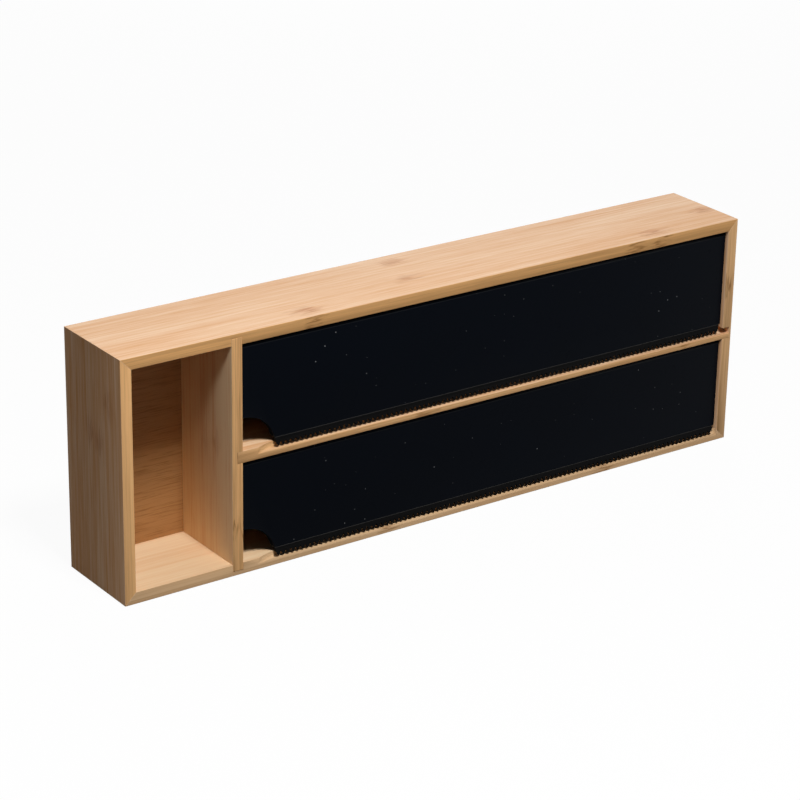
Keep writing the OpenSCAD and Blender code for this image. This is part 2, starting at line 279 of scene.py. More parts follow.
class Nodes:
    """Adds nodes to a tree and joins them."""

    def __init__(self, tree):
        self.tree = tree

    def feed(self, socket, value):
        """Links a socket to an input, or sets the input to a plain value, a colour as three numbers."""
        if isinstance(value, bpy.types.NodeSocket):
            self.tree.links.new(value, socket)
        elif socket.type == "RGBA":
            socket.default_value = (*value, 1.0)
        else:
            socket.default_value = value

    def dress(self, node, inputs):
        """Feeds a node's inputs by name or number."""
        for key, value in inputs.items():
            self.feed(node.inputs[key], value)

    def add(self, kind, inputs=None, **settings):
        """A node of one kind, with its settings and its inputs."""
        node = self.tree.nodes.new(kind)
        for name, value in settings.items():
            setattr(node, name, value)
        self.dress(node, inputs or {})
        return node

    def result(self, kind, inputs=None, **settings):
        """The first output of a new node."""
        return self.add(kind, inputs, **settings).outputs[0]

    def math(self, operation, *values):
        """One step of arithmetic."""
        return self.result("ShaderNodeMath", dict(enumerate(values)), operation=operation)

    def half(self, value):
        """Half a number."""
        return self.math("MULTIPLY", value, 0.5)

    def square(self, value):
        """A number times itself."""
        return self.math("POWER", value, 2.0)

    def apart(self, first, second):
        """How far apart two numbers are."""
        return self.math("ABSOLUTE", self.math("SUBTRACT", first, second))

    def between(self, factor, first, second):
        """A number part of the way from one to another."""
        return self.math("MULTIPLY_ADD", factor, self.math("SUBTRACT", second, first), first)

    def ramp(self, value, low, high, to=(0.0, 1.0)):
        """A number eased from the range of low to high to another range."""
        inputs = {"Value": value, "From Min": low, "From Max": high, "To Min": to[0], "To Max": to[1]}
        return self.result("ShaderNodeMapRange", inputs, interpolation_type="SMOOTHSTEP")

    def choose(self, index, *values):
        """The number that stands at a place in a list."""
        node = self.add("GeometryNodeIndexSwitch", data_type="FLOAT")
        while len(node.index_switch_items) < len(values):
            node.index_switch_items.new()
        self.dress(node, dict(enumerate((index, *values))))
        return node.outputs[0]

    def vector(self, operation, *values):
        """One step of vector arithmetic with a vector as its result."""
        return self.result("ShaderNodeVectorMath", dict(enumerate(values)), operation=operation)

    def measure(self, operation, *values):
        """One step of vector arithmetic with a number as its result."""
        node = self.add("ShaderNodeVectorMath", dict(enumerate(values)), operation=operation)
        return node.outputs["Value"]

    def join(self, x=0.0, y=0.0, z=0.0):
        """Three numbers as a vector."""
        return self.result("ShaderNodeCombineXYZ", {0: x, 1: y, 2: z})

    def split(self, vector):
        """A vector as three numbers."""
        return self.add("ShaderNodeSeparateXYZ", {0: vector}).outputs[:3]

    def place(self):
        """Where a point of a piece lies, in metres."""
        return self.add("ShaderNodeTexCoord").outputs["Object"]

    def points(self):
        """The coordinates of a shape's points."""
        return self.split(self.result("GeometryNodeInputPosition"))

    def moved(self, shape, x, y, z, selection=True):
        """A shape with its points, or those selected, moved to new places."""
        inputs = {"Geometry": shape, "Selection": selection, "Position": self.join(x, y, z)}
        return self.result("GeometryNodeSetPosition", inputs)

    def placed(self, shape, shift, turn=(0, 0, 0)):
        """A shape turned and then shifted."""
        inputs = {"Geometry": shape, "Translation": shift, "Rotation": turn}
        return self.result("GeometryNodeTransform", inputs)

    def noise(self, place, waves, detail=2.0, roughness=0.5, offset=(0, 0, 0)):
        """Smooth noise between 0 and 1, with so many waves to a unit of length along each axis."""
        vector = self.vector("MULTIPLY_ADD", place, waves, offset)
        inputs = {"Vector": vector, "Scale": 1.0, "Detail": detail, "Roughness": roughness}
        return self.add("ShaderNodeTexNoise", inputs).outputs["Fac"]

    def mix(self, factor, first, second):
        """Two colours mixed by a factor, which counts as 0 below 0 and as 1 above 1."""
        return self.add("ShaderNodeMix", {0: factor, 6: first, 7: second}, data_type="RGBA").outputs[2]

    def bump(self, height, relief, strength):
        """The direction of a surface with fine relief."""
        return self.result("ShaderNodeBump", {"Strength": strength, "Distance": relief, "Height": height})


def add_sockets(tree, in_out, kind, names, subtype=None):
    """Adds named inputs or outputs of one kind to a tree."""
    for name in names:
        socket = tree.interface.new_socket(name, in_out=in_out, socket_type=kind)
        if subtype:
            socket.subtype = subtype


def label(setting):
    """The name of a setting as an input of a tree."""
    return setting.replace("_", " ").title()


class Finish(Nodes):
    """The nodes of a new material, around its surface shader."""

    def __init__(self, name):
        self.material = bpy.data.materials.new(name)
        self.material.use_nodes = True
        super().__init__(self.material.node_tree)
        self.shader = self.tree.nodes["Principled BSDF"]

    def surface(self, inputs):
        """The material, once its surface shader has these inputs."""
        self.dress(self.shader, inputs)
        return self.material


# Materials

def bamboo_group():
    """Strips of cane side by side and in layers, with fibres along X, in millimetres."""
    name = "laminated_bamboo"
    if name in bpy.data.node_groups:
        return bpy.data.node_groups[name]
    tree = bpy.data.node_groups.new(name, "ShaderNodeTree")
    add_sockets(tree, "INPUT", "NodeSocketVector", ["Place"])
    add_sockets(tree, "INPUT", "NodeSocketFloat", [*MASKS, *map(label, TRAITS), "Strip Width", "Layer"])
    add_sockets(tree, "INPUT", "NodeSocketColor", [label(tint + "_colour") for tint in TINTS])
    add_sockets(tree, "OUTPUT", "NodeSocketColor", ["Color"])
    add_sockets(tree, "OUTPUT", "NodeSocketFloat", ["Tone"])
    nodes = Nodes(tree)
    given = nodes.add("NodeGroupInput").outputs
    brush_share = 0.4
    layers, strips, chance = cane_strips(nodes, given)
    fibres, tone = cane_fibres(nodes, given, chance)
    face = cane_face(nodes, given, strips, fibres["brush"], tone)
    edge = cane_edge(nodes, given, layers, fibres["brush"], tone)
    body = nodes.mix(given["Face"], edge, face)
    nodes.add("NodeGroupOutput", {
        "Color": nodes.mix(given["Glue"], body, given["Pale Colour"]),
        "Tone": nodes.between(brush_share, fibres["hair"], fibres["brush"]),
    })
    return tree


def cane_strips(nodes, given):
    """A place counted in layers and in strips, and what chance gives the strip that it lies in."""
    # Boards with neighbouring seeds share no layer's shift
    seed_step = 7.3
    _, across, through = nodes.split(given["Place"])
    layers = nodes.math("DIVIDE", through, given["Layer"])
    layer = nodes.math("FLOOR", layers)
    layer_seed = nodes.math("MULTIPLY_ADD", given["Seed"], seed_step, layer)
    shift = nodes.add("ShaderNodeTexWhiteNoise", {"W": layer_seed}, noise_dimensions="1D").outputs["Value"]
    strips = nodes.math("ADD", nodes.math("DIVIDE", across, given["Strip Width"]), shift)
    strip = nodes.join(nodes.math("FLOOR", strips), layer, given["Seed"])
    return layers, strips, nodes.add("ShaderNodeTexWhiteNoise", {"Vector": strip}).outputs


def cane_fibres(nodes, given, chance):
    """The fibres of each size, and the tone that they and the strip give a place."""
    # Fibres of two strips lie so far apart in the noise that they don't look alike
    spread = (400, 400, 400)
    least_tone, tone_range = 0.22, 0.26
    offset = nodes.vector("MULTIPLY", chance["Color"], spread)
    fibres = {}
    grain = 0.0
    for size, fibre in FIBRES.items():
        waves = (fibre.along, fibre.across, fibre.across)
        fibres[size] = nodes.noise(given["Place"], waves, fibre.detail, fibre.roughness, offset)
        grain = nodes.math("MULTIPLY_ADD", nodes.math("SUBTRACT", fibres[size], 0.5), fibre.weight, grain)
    strip_tone = nodes.math("MULTIPLY_ADD", chance["Value"], tone_range, least_tone)
    return fibres, nodes.math("MULTIPLY_ADD", grain, given["Grain"], strip_tone)


def rim_line(nodes, count, start, strength):
    """A fine line where one strip or layer ends and the next begins, from its start to the rim at 0.5."""
    off_middle = nodes.apart(nodes.math("FRACT", count), 0.5)
    return nodes.ramp(off_middle, start, 0.5, to=(0.0, strength))


def cane_face(nodes, given, strips, brush, tone):
    """Colour of a board's broad faces: strips with fine seams between them, and smudged knuckles."""
    seam = rim_line(nodes, strips, start=0.488, strength=0.3)
    pale = nodes.mix(given["Honey"], given["Pale Colour"], given["Honey Colour"])
    body = nodes.mix(nodes.math("ADD", tone, given["Depth"]), pale, given["Deep Colour"])
    body = nodes.mix(seam, body, given["Deep Colour"])
    smudge = nodes.math("MULTIPLY", given["Knuckle"], nodes.ramp(brush, 0.3, 0.62, to=(0.3, 1.0)))
    return nodes.mix(smudge, body, given["Knuckle Colour"])


def cane_edge(nodes, given, layers, brush, tone):
    """Colour of a board's edges: layers with fine lines of glue between them, and ragged knots."""
    contrast = 1.1
    shaded = nodes.math("MULTIPLY_ADD", tone, contrast, given["Edge"])
    pale = nodes.mix(given["Warm"], given["Edge Pale Colour"], given["Edge Warm Colour"])
    body = nodes.mix(shaded, pale, given["Edge Deep Colour"])
    glue = rim_line(nodes, layers, start=0.43, strength=0.16)
    gnarl = nodes.math("MULTIPLY", given["Knot"], nodes.ramp(brush, 0.36, 0.62, to=(0.1, 1.0)))
    return nodes.mix(nodes.math("MAXIMUM", glue, gnarl), body, given["Knot Colour"])


def board_place(nodes, node_name, lay):
    """Millimetres along, across and through a board from its low corner, and 1 on its broad faces."""
    turn = Euler(LAYS[lay])
    corners = [turn.to_matrix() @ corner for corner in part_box(node_name)]
    low = Vector(map(min, *corners))
    coordinates = nodes.add("ShaderNodeTexCoord").outputs
    turned = nodes.result("ShaderNodeMapping", {
        "Vector": coordinates["Object"], "Rotation": turn, "Location": -low,
    })
    outward = turn.to_matrix().transposed() @ Vector((0, 0, 1))
    facing = nodes.measure("DOT_PRODUCT", coordinates["Normal"], outward)
    place = nodes.vector("DIVIDE", turned, (MM, MM, MM))
    return place, nodes.ramp(nodes.math("ABSOLUTE", facing), 0.55, 0.85)


def brushed_place(nodes, place):
    """Places drawn out along the grain, for marks with ragged rims."""
    waves = (0.06, 0.5, 0.5)
    reach = (42, 9, 0)
    ragged = nodes.vector("MULTIPLY", place, waves)
    wander = nodes.add("ShaderNodeTexNoise", {"Vector": ragged, "Scale": 1.0, "Detail": 3.0}).outputs["Color"]
    drift = nodes.vector("MULTIPLY", nodes.vector("SUBTRACT", wander, (0.5, 0.5, 0.5)), reach)
    return nodes.vector("ADD", place, drift)


def knuckle_shade(nodes, place, knuckles):
    """Darkness of the knuckles on a board's faces: smudges somewhat narrower than a strip."""
    half_length, half_width = 15, 9
    shrink = (1 / half_length, 1 / half_width, 0)
    shade = 0.0
    for along, across, strength in knuckles:
        away = nodes.vector("MULTIPLY", nodes.vector("SUBTRACT", place, (along, across, 0)), shrink)
        spot = nodes.ramp(nodes.measure("LENGTH", away), 0.0, 1.0, to=(strength, 0.0))
        shade = nodes.math("MAXIMUM", spot, shade)
    return shade


def knot_shade(nodes, place, knots):
    """Darkness of the knots on a board's edges."""
    half_length = 8
    strength = 0.75
    along = nodes.split(place)[0]
    shade = 0.0
    for knot in knots:
        spot = nodes.ramp(nodes.apart(along, knot), 0.0, half_length, to=(strength, 0.0))
        shade = nodes.math("MAXIMUM", spot, shade)
    return shade


def glue_shade(nodes, bamboo):
    """A pale line along each mitre of the case."""
    strength = 0.55
    solid, faded = 0.3 * bamboo.glue_w, 0.7 * bamboo.glue_w
    low, high = CAD_BOX
    outer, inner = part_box("left_side")
    board_t = inner.x - outer.x
    centred = nodes.vector("ABSOLUTE", nodes.vector("SUBTRACT", nodes.place(), (low + high) / 2))
    depth = nodes.vector("SUBTRACT", (high - low) / 2, centred)
    from_side, _, from_top = nodes.split(depth)
    line = nodes.ramp(nodes.apart(from_side, from_top), solid, faded, to=(strength, 0.0))
    return nodes.math("MULTIPLY", line, nodes.math("LESS_THAN", from_side, board_t))


def bamboo_material(board, bamboo):
    """Satin bamboo for one board."""
    nodes = Finish("bamboo_" + board.node)
    place, face = board_place(nodes, board.node, board.lay)
    brushed = brushed_place(nodes, place)
    inputs = {
        "Place": place,
        "Face": face,
        "Glue": glue_shade(nodes, bamboo),
        "Knuckle": knuckle_shade(nodes, brushed, board.knuckles),
        "Knot": knot_shade(nodes, brushed, board.knots),
        "Strip Width": bamboo.strip_w / MM,
        "Layer": bamboo.layer_t / MM,
    }
    inputs |= {label(trait): getattr(board, trait) for trait in TRAITS}
    inputs |= {label(tint + "_colour"): getattr(bamboo, tint) for tint in TINTS}
    cane = nodes.add("ShaderNodeGroup", inputs, node_tree=bamboo_group()).outputs
    return nodes.surface({
        "Base Color": cane["Color"],
        "Roughness": nodes.ramp(cane["Tone"], 0.2, 0.8, to=(0.44, 0.6)),
        "Specular IOR Level": 0.03,
        "Normal": nodes.bump(cane["Tone"], WOOD_RELIEF, strength=0.06),
    })


def back_material(bamboo):
    """The thin back panel: a redder ground with dark dashes along its width."""
    nodes = Finish("bamboo_back_panel")
    place, _ = board_place(nodes, "back_panel", "facing")
    bands = nodes.noise(place, (0.006, 0.12, 0.12))
    dashes = nodes.noise(place, (0.05, 1.5, 1.5), detail=3.0, roughness=0.65)
    hairs = nodes.noise(place, (0.06, 3.6, 3.6))
    dark = nodes.ramp(dashes, 0.46, 0.7)
    tone = -0.25
    for part, weight in ((dark, 0.6), (bands, 0.4), (hairs, 0.4)):
        tone = nodes.math("MULTIPLY_ADD", part, weight, tone)
    return nodes.surface({
        "Base Color": nodes.mix(tone, bamboo.back_pale, bamboo.back_deep),
        "Roughness": nodes.ramp(hairs, 0.2, 0.8, to=(0.45, 0.62)),
        "Specular IOR Level": 0.2,
        "Normal": nodes.bump(dashes, WOOD_RELIEF, strength=0.2),
    })


def spline_material(bamboo):
    """The slips of wood inside the mitres."""
    nodes = Finish("bamboo_splines")
    fibres = nodes.noise(nodes.place(), (900, 40, 900), detail=3.0)
    return nodes.surface({
        "Base Color": nodes.mix(fibres, bamboo.edge_pale, bamboo.edge_deep),
        "Roughness": 0.6,
    })


def painted_highlight_line(nodes, heights, width, strength):
    """A painted highlight: a line of one strength along each of two heights of a surface, fading out over its
    width.
    """
    z = nodes.split(nodes.place())[2]
    nearest = nodes.math("MINIMUM", *(nodes.apart(z, height) for height in heights))
    return nodes.ramp(nearest, 0.25 * width, 0.5 * width, to=(strength, 0.0))


def dust_shade(nodes, flaps):
    """Specks of dust in drifts, each with its own size and shade."""
    # How far the pattern of drifts is shifted, in metres
    offset = (-0.047, 0, 0.024)
    least_radius, radius_range = 0.02, 0.045
    clean, dusty = 0.985, 0.83
    faint, strong = 0.25, 0.9
    place = nodes.vector("ADD", nodes.place(), offset)
    x, _, z = nodes.split(place)
    cells = nodes.add("ShaderNodeTexVoronoi", {
        "Vector": nodes.join(x, z), "Scale": 1 / flaps.dust_cell,
    }, voronoi_dimensions="2D").outputs
    chance, size, shade = nodes.split(cells["Color"])
    drifts = nodes.noise(place, (14, 14, 30))
    kept = nodes.math("GREATER_THAN", chance, nodes.ramp(drifts, 0.4, 0.65, to=(clean, dusty)))
    radius = nodes.math("MULTIPLY_ADD", size, radius_range, least_radius)
    speck = nodes.ramp(nodes.math("DIVIDE", cells["Distance"], radius), 0.5, 1.2, to=(1.0, 0.0))
    strength = nodes.ramp(shade, 0.0, 1.0, to=(faint, strong))
    return nodes.math("MULTIPLY", nodes.math("MULTIPLY", kept, speck), strength)


def hinge_height(bay):
    """Height of a flap's hinge line, where its round top begins."""
    low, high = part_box(bay + "_flap")
    return high.z - (high.y - low.y) / 2


def flap_material(flaps):
    """Smooth black plastic with a little dust, and a painted highlight line where each round top begins."""
    nodes = Finish("flap_black")
    place = nodes.place()
    # Painted highlight: a faint line in the dust colour where each flap's round top begins
    painted_highlight = painted_highlight_line(nodes, map(hinge_height, BAYS), flaps.rub_w, strength=0.05)
    # The dust specks and the painted highlight line together
    marks = nodes.math("MAXIMUM", dust_shade(nodes, flaps), painted_highlight)
    handled = nodes.noise(place, (14, 14, 22), detail=4.0, roughness=0.6)
    grain = nodes.noise(place, (2600, 2600, 2600))
    return nodes.surface({
        "Base Color": nodes.mix(marks, flaps.black, flaps.dust),
        "Roughness": nodes.ramp(handled, 0.3, 0.75, to=(0.24, 0.4)),
        "Specular IOR Level": 0.018,
        "Normal": nodes.bump(grain, SMOOTH_RELIEF, strength=0.08),
    })


def strip_material(strips):
    """Satin black plastic with fine mould lines along the strip, and a painted highlight along its top edge.
    """
    nodes = Finish("strip_black")
    lines = nodes.noise(nodes.place(), (30, 1400, 1400), detail=3.0)
    worn = nodes.ramp(lines, 0.45, 0.75, to=(0.0, 0.4))
    body = nodes.mix(worn, strips.black, strips.worn)
    tops = [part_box(bay + "_cutter")[1].z - strips.tongue_h for bay in BAYS]
    # Painted highlight along the top edge of each strip
    painted_highlight = painted_highlight_line(nodes, tops, strips.ridge_w, strength=1.0)
    return nodes.surface({
        "Base Color": nodes.mix(painted_highlight, body, strips.ridge),
        "Roughness": nodes.ramp(lines, 0.2, 0.8, to=(0.34, 0.52)),
        "Specular IOR Level": 0.03,
        "Normal": nodes.bump(lines, SMOOTH_RELIEF, strength=0.15),
    })


def zinc_material(hardware):
    """Zinc plate with a faint mottle."""
    name = "zinc_plate"
    if name in bpy.data.materials:
        return bpy.data.materials[name]
    nodes = Finish(name)
    mottle = nodes.noise(nodes.place(), (420, 420, 420), detail=3.0, roughness=0.6)
    dull = hardware.zinc * 0.7
    return nodes.surface({
        "Base Color": nodes.mix(mottle, hardware.zinc, dull),
        "Roughness": nodes.ramp(mottle, 0.3, 0.7, to=(0.28, 0.46)),
        "Metallic": 1.0,
        "Normal": nodes.bump(mottle, SMOOTH_RELIEF, strength=0.1),
    })


def steel_material(hardware):
    """Drawn steel with lines along the pin."""
    nodes = Finish("drawn_steel")
    lines = nodes.noise(nodes.place(), (60, 5000, 5000))
    dull = hardware.steel * 0.75
    return nodes.surface({
        "Base Color": nodes.mix(lines, hardware.steel, dull),
        "Roughness": nodes.ramp(lines, 0.3, 0.7, to=(0.22, 0.4)),
        "Metallic": 1.0,
    })


# Words for making pieces

def new_object(name, data):
    """A mesh, a camera or a light as an object of the scene."""
    thing = bpy.data.objects.new(name, data)
    bpy.context.scene.collection.objects.link(thing)
    return thing


def settle(piece):
    """The result of a piece's modifiers as its own plain mesh, without empty material slots."""
    bpy.context.view_layer.update()
    graph = bpy.context.evaluated_depsgraph_get()
    mesh = bpy.data.meshes.new_from_object(piece.evaluated_get(graph), depsgraph=graph)
    for slot in reversed(range(len(mesh.materials))):
        if mesh.materials[slot] is None:
            mesh.materials.pop(index=slot)
    piece.modifiers.clear()
    piece.data = mesh
    return piece


def seat(piece, body, slot, *nodes):
    """Puts a finished piece on its body, in the place of its construction nodes."""
    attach(piece, body)
    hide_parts(*nodes)


def clad(node_name, material):
    """Gives a construction node that is shown as it is its finish."""
    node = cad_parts[node_name]
    node.data.materials.clear()
    node.data.materials.append(material)


def add_bevel(piece, width, segments):
    """Rounds the edges of a piece and keeps its flat faces flat."""
    bevel = piece.modifiers.new("eased_edges", "BEVEL")
    bevel.width = width
    bevel.segments = segments
    bevel.harden_normals = True
    return bevel


def eased_copy(name, node_name, width_of):
    """A merged copy of a construction mesh with its edges rounded by the width that each one is given."""
    same_point = 0.001 * MM
    same_face = radians(0.5)
    sharp = radians(35)
    shape = bmesh.new()
    shape.from_mesh(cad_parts[node_name].data)
    bmesh.ops.remove_doubles(shape, verts=shape.verts, dist=same_point)
    bmesh.ops.dissolve_limit(shape, angle_limit=same_face, verts=shape.verts, edges=shape.edges)
    weights = shape.edges.layers.float.new("bevel_weight_edge")
    widths = {}
    for edge in shape.edges:
        if len(edge.link_faces) == 2 and edge.calc_face_angle_signed() > sharp:
            widths[edge] = width_of(edge)
    widest = max(widths.values())
    for edge, width in widths.items():
        edge[weights] = width / widest
    mesh = bpy.data.meshes.new(name)
    shape.to_mesh(mesh)
    shape.free()
    for polygon in mesh.polygons:
        polygon.use_smooth = True
    piece = new_object(name, mesh)
    bevel = add_bevel(piece, widest, segments=3)
    bevel.limit_method = "WEIGHT"
    return piece


def dress_node(node_name, finish, width_of, material, body, slot):
    """Puts an eased copy of a construction node, with its material, in the node's place."""
    piece = settle(eased_copy(f"{node_name}_{finish}", node_name, width_of))
    piece.data.materials.append(material)
    seat(piece, body, slot, node_name)


# Trees of geometry nodes for what repeats

def geometry_tree(name, lengths, counts=()):
    """A tree with named inputs for its lengths, its counts and its material, and one piece as its result."""
    tree = bpy.data.node_groups.new(name, "GeometryNodeTree")
    add_sockets(tree, "OUTPUT", "NodeSocketGeometry", ["Geometry"])
    add_sockets(tree, "INPUT", "NodeSocketFloat", lengths, subtype="DISTANCE")
    add_sockets(tree, "INPUT", "NodeSocketInt", counts)
    add_sockets(tree, "INPUT", "NodeSocketMaterial", ["Material"])
    nodes = Nodes(tree)
    return tree, nodes, nodes.add("NodeGroupInput").outputs


def end_tree(nodes, geometry, material):
    """Makes the instances real, gives them their material and hands the result out."""
    real = nodes.result("GeometryNodeRealizeInstances", {"Geometry": geometry})
    dressed = nodes.result("GeometryNodeSetMaterial", {"Geometry": real, "Material": material})
    nodes.add("NodeGroupOutput", {"Geometry": dressed})


def grow(name, tree, values):
    """A new piece that a tree shapes, with the tree's inputs by name."""
    piece = new_object(name, bpy.data.meshes.new(name))
    modifier = piece.modifiers.new(tree.name, "NODES")
    modifier.node_group = tree
    for item in tree.interface.items_tree:
        if item.in_out == "INPUT":
            modifier[item.identifier] = values[item.name]
    return piece


def strip_tree():
    """A tear strip: the slice of one tooth, repeated along X, welded, and ended by the finger notch."""
    tree, nodes, given = geometry_tree("tear_strip", (
        "Start", "Step", "Front", "Back", "Tip", "Tooth Height", "Tip Thickness", "Shoulder",
        "Tongue Thickness", "Tongue Height", "Top", "Notch X", "Notch Radius",
    ), counts=("Teeth",))
    first = nodes.math("ADD", given["Start"], nodes.half(given["Step"]))
    row = nodes.result("GeometryNodeMeshLine", {
        "Count": given["Teeth"], "Start Location": nodes.join(first), "Offset": nodes.join(given["Step"]),
    }, mode="OFFSET")
    teeth = nodes.result("GeometryNodeInstanceOnPoints", {
        "Points": row, "Instance": tooth_slice(nodes, given),
    })
    ended = notched_row(nodes, given, welded_row(nodes, given, teeth))
    smooth = nodes.result("GeometryNodeSetShadeSmooth", {"Geometry": ended})
    end_tree(nodes, smooth, given["Material"])
    return tree


def notched_row(nodes, given, row):
    """A row of teeth whose first end follows the round of the finger notch."""
    x, y, z = nodes.points()
    rise = nodes.math("SUBTRACT", z, given["Tip"])
    squared = nodes.math("SUBTRACT", nodes.square(given["Notch Radius"]), nodes.square(rise))
    notch_x = nodes.math("ADD", given["Notch X"], nodes.math("SQRT", squared))
    quarter_step = nodes.math("MULTIPLY_ADD", given["Step"], 0.25, given["Start"])
    at_start = nodes.math("LESS_THAN", x, quarter_step)
    return nodes.moved(row, notch_x, y, z, selection=at_start)


def welded_row(nodes, given, teeth):
    """The slices of a strip as one shell: the walls between them are taken out and their rims joined."""
    square_on = 0.995
    same_point = 0.01 * MM
    real = nodes.result("GeometryNodeRealizeInstances", {"Geometry": teeth})
    x = nodes.points()[0]
    end = nodes.math("MULTIPLY_ADD", given["Teeth"], given["Step"], given["Start"])
    middle = nodes.half(nodes.math("ADD", given["Start"], end))
    reach = nodes.math("SUBTRACT", nodes.math("SUBTRACT", end, middle), nodes.half(given["Step"]))
    inner = nodes.math("LESS_THAN", nodes.apart(x, middle), reach)
    facing = nodes.math("ABSOLUTE", nodes.split(nodes.result("GeometryNodeInputNormal"))[0])
    inner_wall = nodes.math("MULTIPLY", inner, nodes.math("GREATER_THAN", facing, square_on))
    opened = nodes.result("GeometryNodeDeleteGeometry", {
        "Geometry": real, "Selection": inner_wall,
    }, domain="FACE")
    return nodes.result("GeometryNodeMergeByDistance", {"Geometry": opened, "Distance": same_point})


def tooth_slice(nodes, given):
    """The slice of a strip from one root to the next: 3 columns, front and back, and 5 rows of points."""
    columns, rows = 3, 5
    block = nodes.result("GeometryNodeMeshCube", {
        "Size": (columns - 1, 1, rows - 1), "Vertices X": columns, "Vertices Y": 2, "Vertices Z": rows,
    })
    across, depth, level = nodes.points()
    at_tip = nodes.math("SUBTRACT", 1.0, nodes.math("ABSOLUTE", across))
    at_back = nodes.math("ADD", depth, 0.5)
    row = nodes.result("FunctionNodeFloatToInt", {0: nodes.math("ADD", level, (rows - 1) / 2)})

    root = nodes.math("ADD", given["Tip"], given["Tooth Height"])
    edge = nodes.between(at_tip, root, given["Tip"])
    shoulder = nodes.math("ADD", root, given["Shoulder"])
    foot = nodes.math("SUBTRACT", given["Top"], given["Tongue Height"])
    waist = nodes.between(0.5, shoulder, foot)
    tongue = nodes.math("SUBTRACT", given["Back"], given["Tongue Thickness"])
    tip_back = nodes.math("ADD", given["Front"], given["Tip Thickness"])
    edge_back = nodes.between(at_tip, given["Back"], tip_back)
    front, back, top = given["Front"], given["Back"], given["Top"]
    front_y = nodes.choose(row, front, front, front, tongue, tongue)
    front_z = nodes.choose(row, edge, shoulder, foot, foot, top)
    back_y = nodes.choose(row, edge_back, back, back, back, back)
    back_z = nodes.choose(row, edge, shoulder, waist, foot, top)
    return nodes.moved(
        block,
        nodes.math("MULTIPLY", across, nodes.half(given["Step"])),
        nodes.between(at_back, front_y, back_y),
        nodes.between(at_back, front_z, back_z),
    )


def screw_tree():
    """Pan-head screws on the corners of an upright rectangle, heads to the rear, each turned its own way."""
    tree, nodes, given = geometry_tree("pan_screws", (
        "Head Diameter", "Head Height", "Dome", "Shank Diameter", "Shank Length", "Cross Length",
        "Cross Width", "Cross Depth", "Spacing X", "Spacing Z", "Middle X", "Seat Y", "Middle Z",
    ))
    corners = nodes.result("GeometryNodeMeshGrid", {
        "Size X": given["Spacing X"], "Size Y": given["Spacing Z"], "Vertices X": 2, "Vertices Y": 2,
    })
    turn = nodes.add("FunctionNodeRandomValue", {"Min": 0.0, "Max": pi / 2, "Seed": 3}, data_type="FLOAT")
    screws = nodes.result("GeometryNodeInstanceOnPoints", {
        "Points": corners, "Instance": pan_screw(nodes, given),
        "Rotation": nodes.result("FunctionNodeEulerToRotation", {0: nodes.join(z=turn.outputs["Value"])}),
    })
    seat_middle = nodes.join(given["Middle X"], given["Seat Y"], given["Middle Z"])
    end_tree(nodes, nodes.placed(screws, seat_middle, turn=(-pi / 2, 0, 0)), given["Material"])
    return tree


def pan_screw(nodes, given):
    """One screw with its head's seat at zero, its crown up and a tapered cross in the crown."""
    whole = nodes.add("GeometryNodeMeshBoolean", operation="UNION", solver="EXACT")
    for part in (screw_head(nodes, given), screw_shank(nodes, given)):
        nodes.feed(whole.inputs["Mesh 2"], part)
    cut = nodes.add(
        "GeometryNodeMeshBoolean", {"Mesh 1": whole.outputs["Mesh"]}, operation="DIFFERENCE", solver="EXACT"
    )
    slot = cross_slot(nodes, given)
    for turn in (0, pi / 2):
        raised = nodes.placed(slot, nodes.join(z=given["Head Height"]), turn=(0, 0, turn))
        nodes.feed(cut.inputs["Mesh 2"], raised)
    return cut.outputs["Mesh"]


def screw_head(nodes, given):
    """A round head with a domed crown."""
    radius = nodes.half(given["Head Diameter"])
    disc = nodes.result("GeometryNodeMeshCylinder", {
        "Vertices": 48, "Side Segments": 1, "Fill Segments": 6,
        "Radius": radius, "Depth": given["Head Height"],
    }, fill_type="TRIANGLE_FAN")
    x, y, z = nodes.points()
    out = nodes.math("DIVIDE", nodes.measure("LENGTH", nodes.join(x, y)), radius)
    fall = nodes.math("MULTIPLY", given["Dome"], nodes.square(out))
    crown = nodes.math("SUBTRACT", given["Head Height"], fall)
    height = nodes.math("MULTIPLY", crown, nodes.math("GREATER_THAN", z, 0.0))
    return nodes.moved(disc, x, y, height)


def screw_shank(nodes, given):
    """A plain shank that reaches a little way up into the head."""
    sunk_share = 0.3
    sunk = nodes.math("MULTIPLY", given["Head Height"], sunk_share)
    rod = nodes.result("GeometryNodeMeshCylinder", {
        "Vertices": 24, "Side Segments": 1, "Fill Segments": 1,
        "Radius": nodes.half(given["Shank Diameter"]),
        "Depth": nodes.math("ADD", given["Shank Length"], sunk),
    })
    middle = nodes.half(nodes.math("SUBTRACT", sunk, given["Shank Length"]))
    return nodes.placed(rod, nodes.join(z=middle))


def cross_slot(nodes, given):
    """One slot of the cross recess, narrower towards its floor."""
    floor_share = 0.55
    deep = nodes.math("MULTIPLY", given["Cross Depth"], 2.0)
    arm = nodes.result("GeometryNodeMeshCube", {
        "Size": nodes.join(given["Cross Length"], given["Cross Width"], deep),
    })
    x, y, z = nodes.points()
    lowest = nodes.math("MULTIPLY", given["Cross Depth"], -1.0)
    taper = nodes.ramp(z, 0.0, lowest, to=(1.0, floor_share))
    return nodes.moved(arm, nodes.math("MULTIPLY", x, taper), nodes.math("MULTIPLY", y, taper), z)


# Operators, one for each group of like pieces

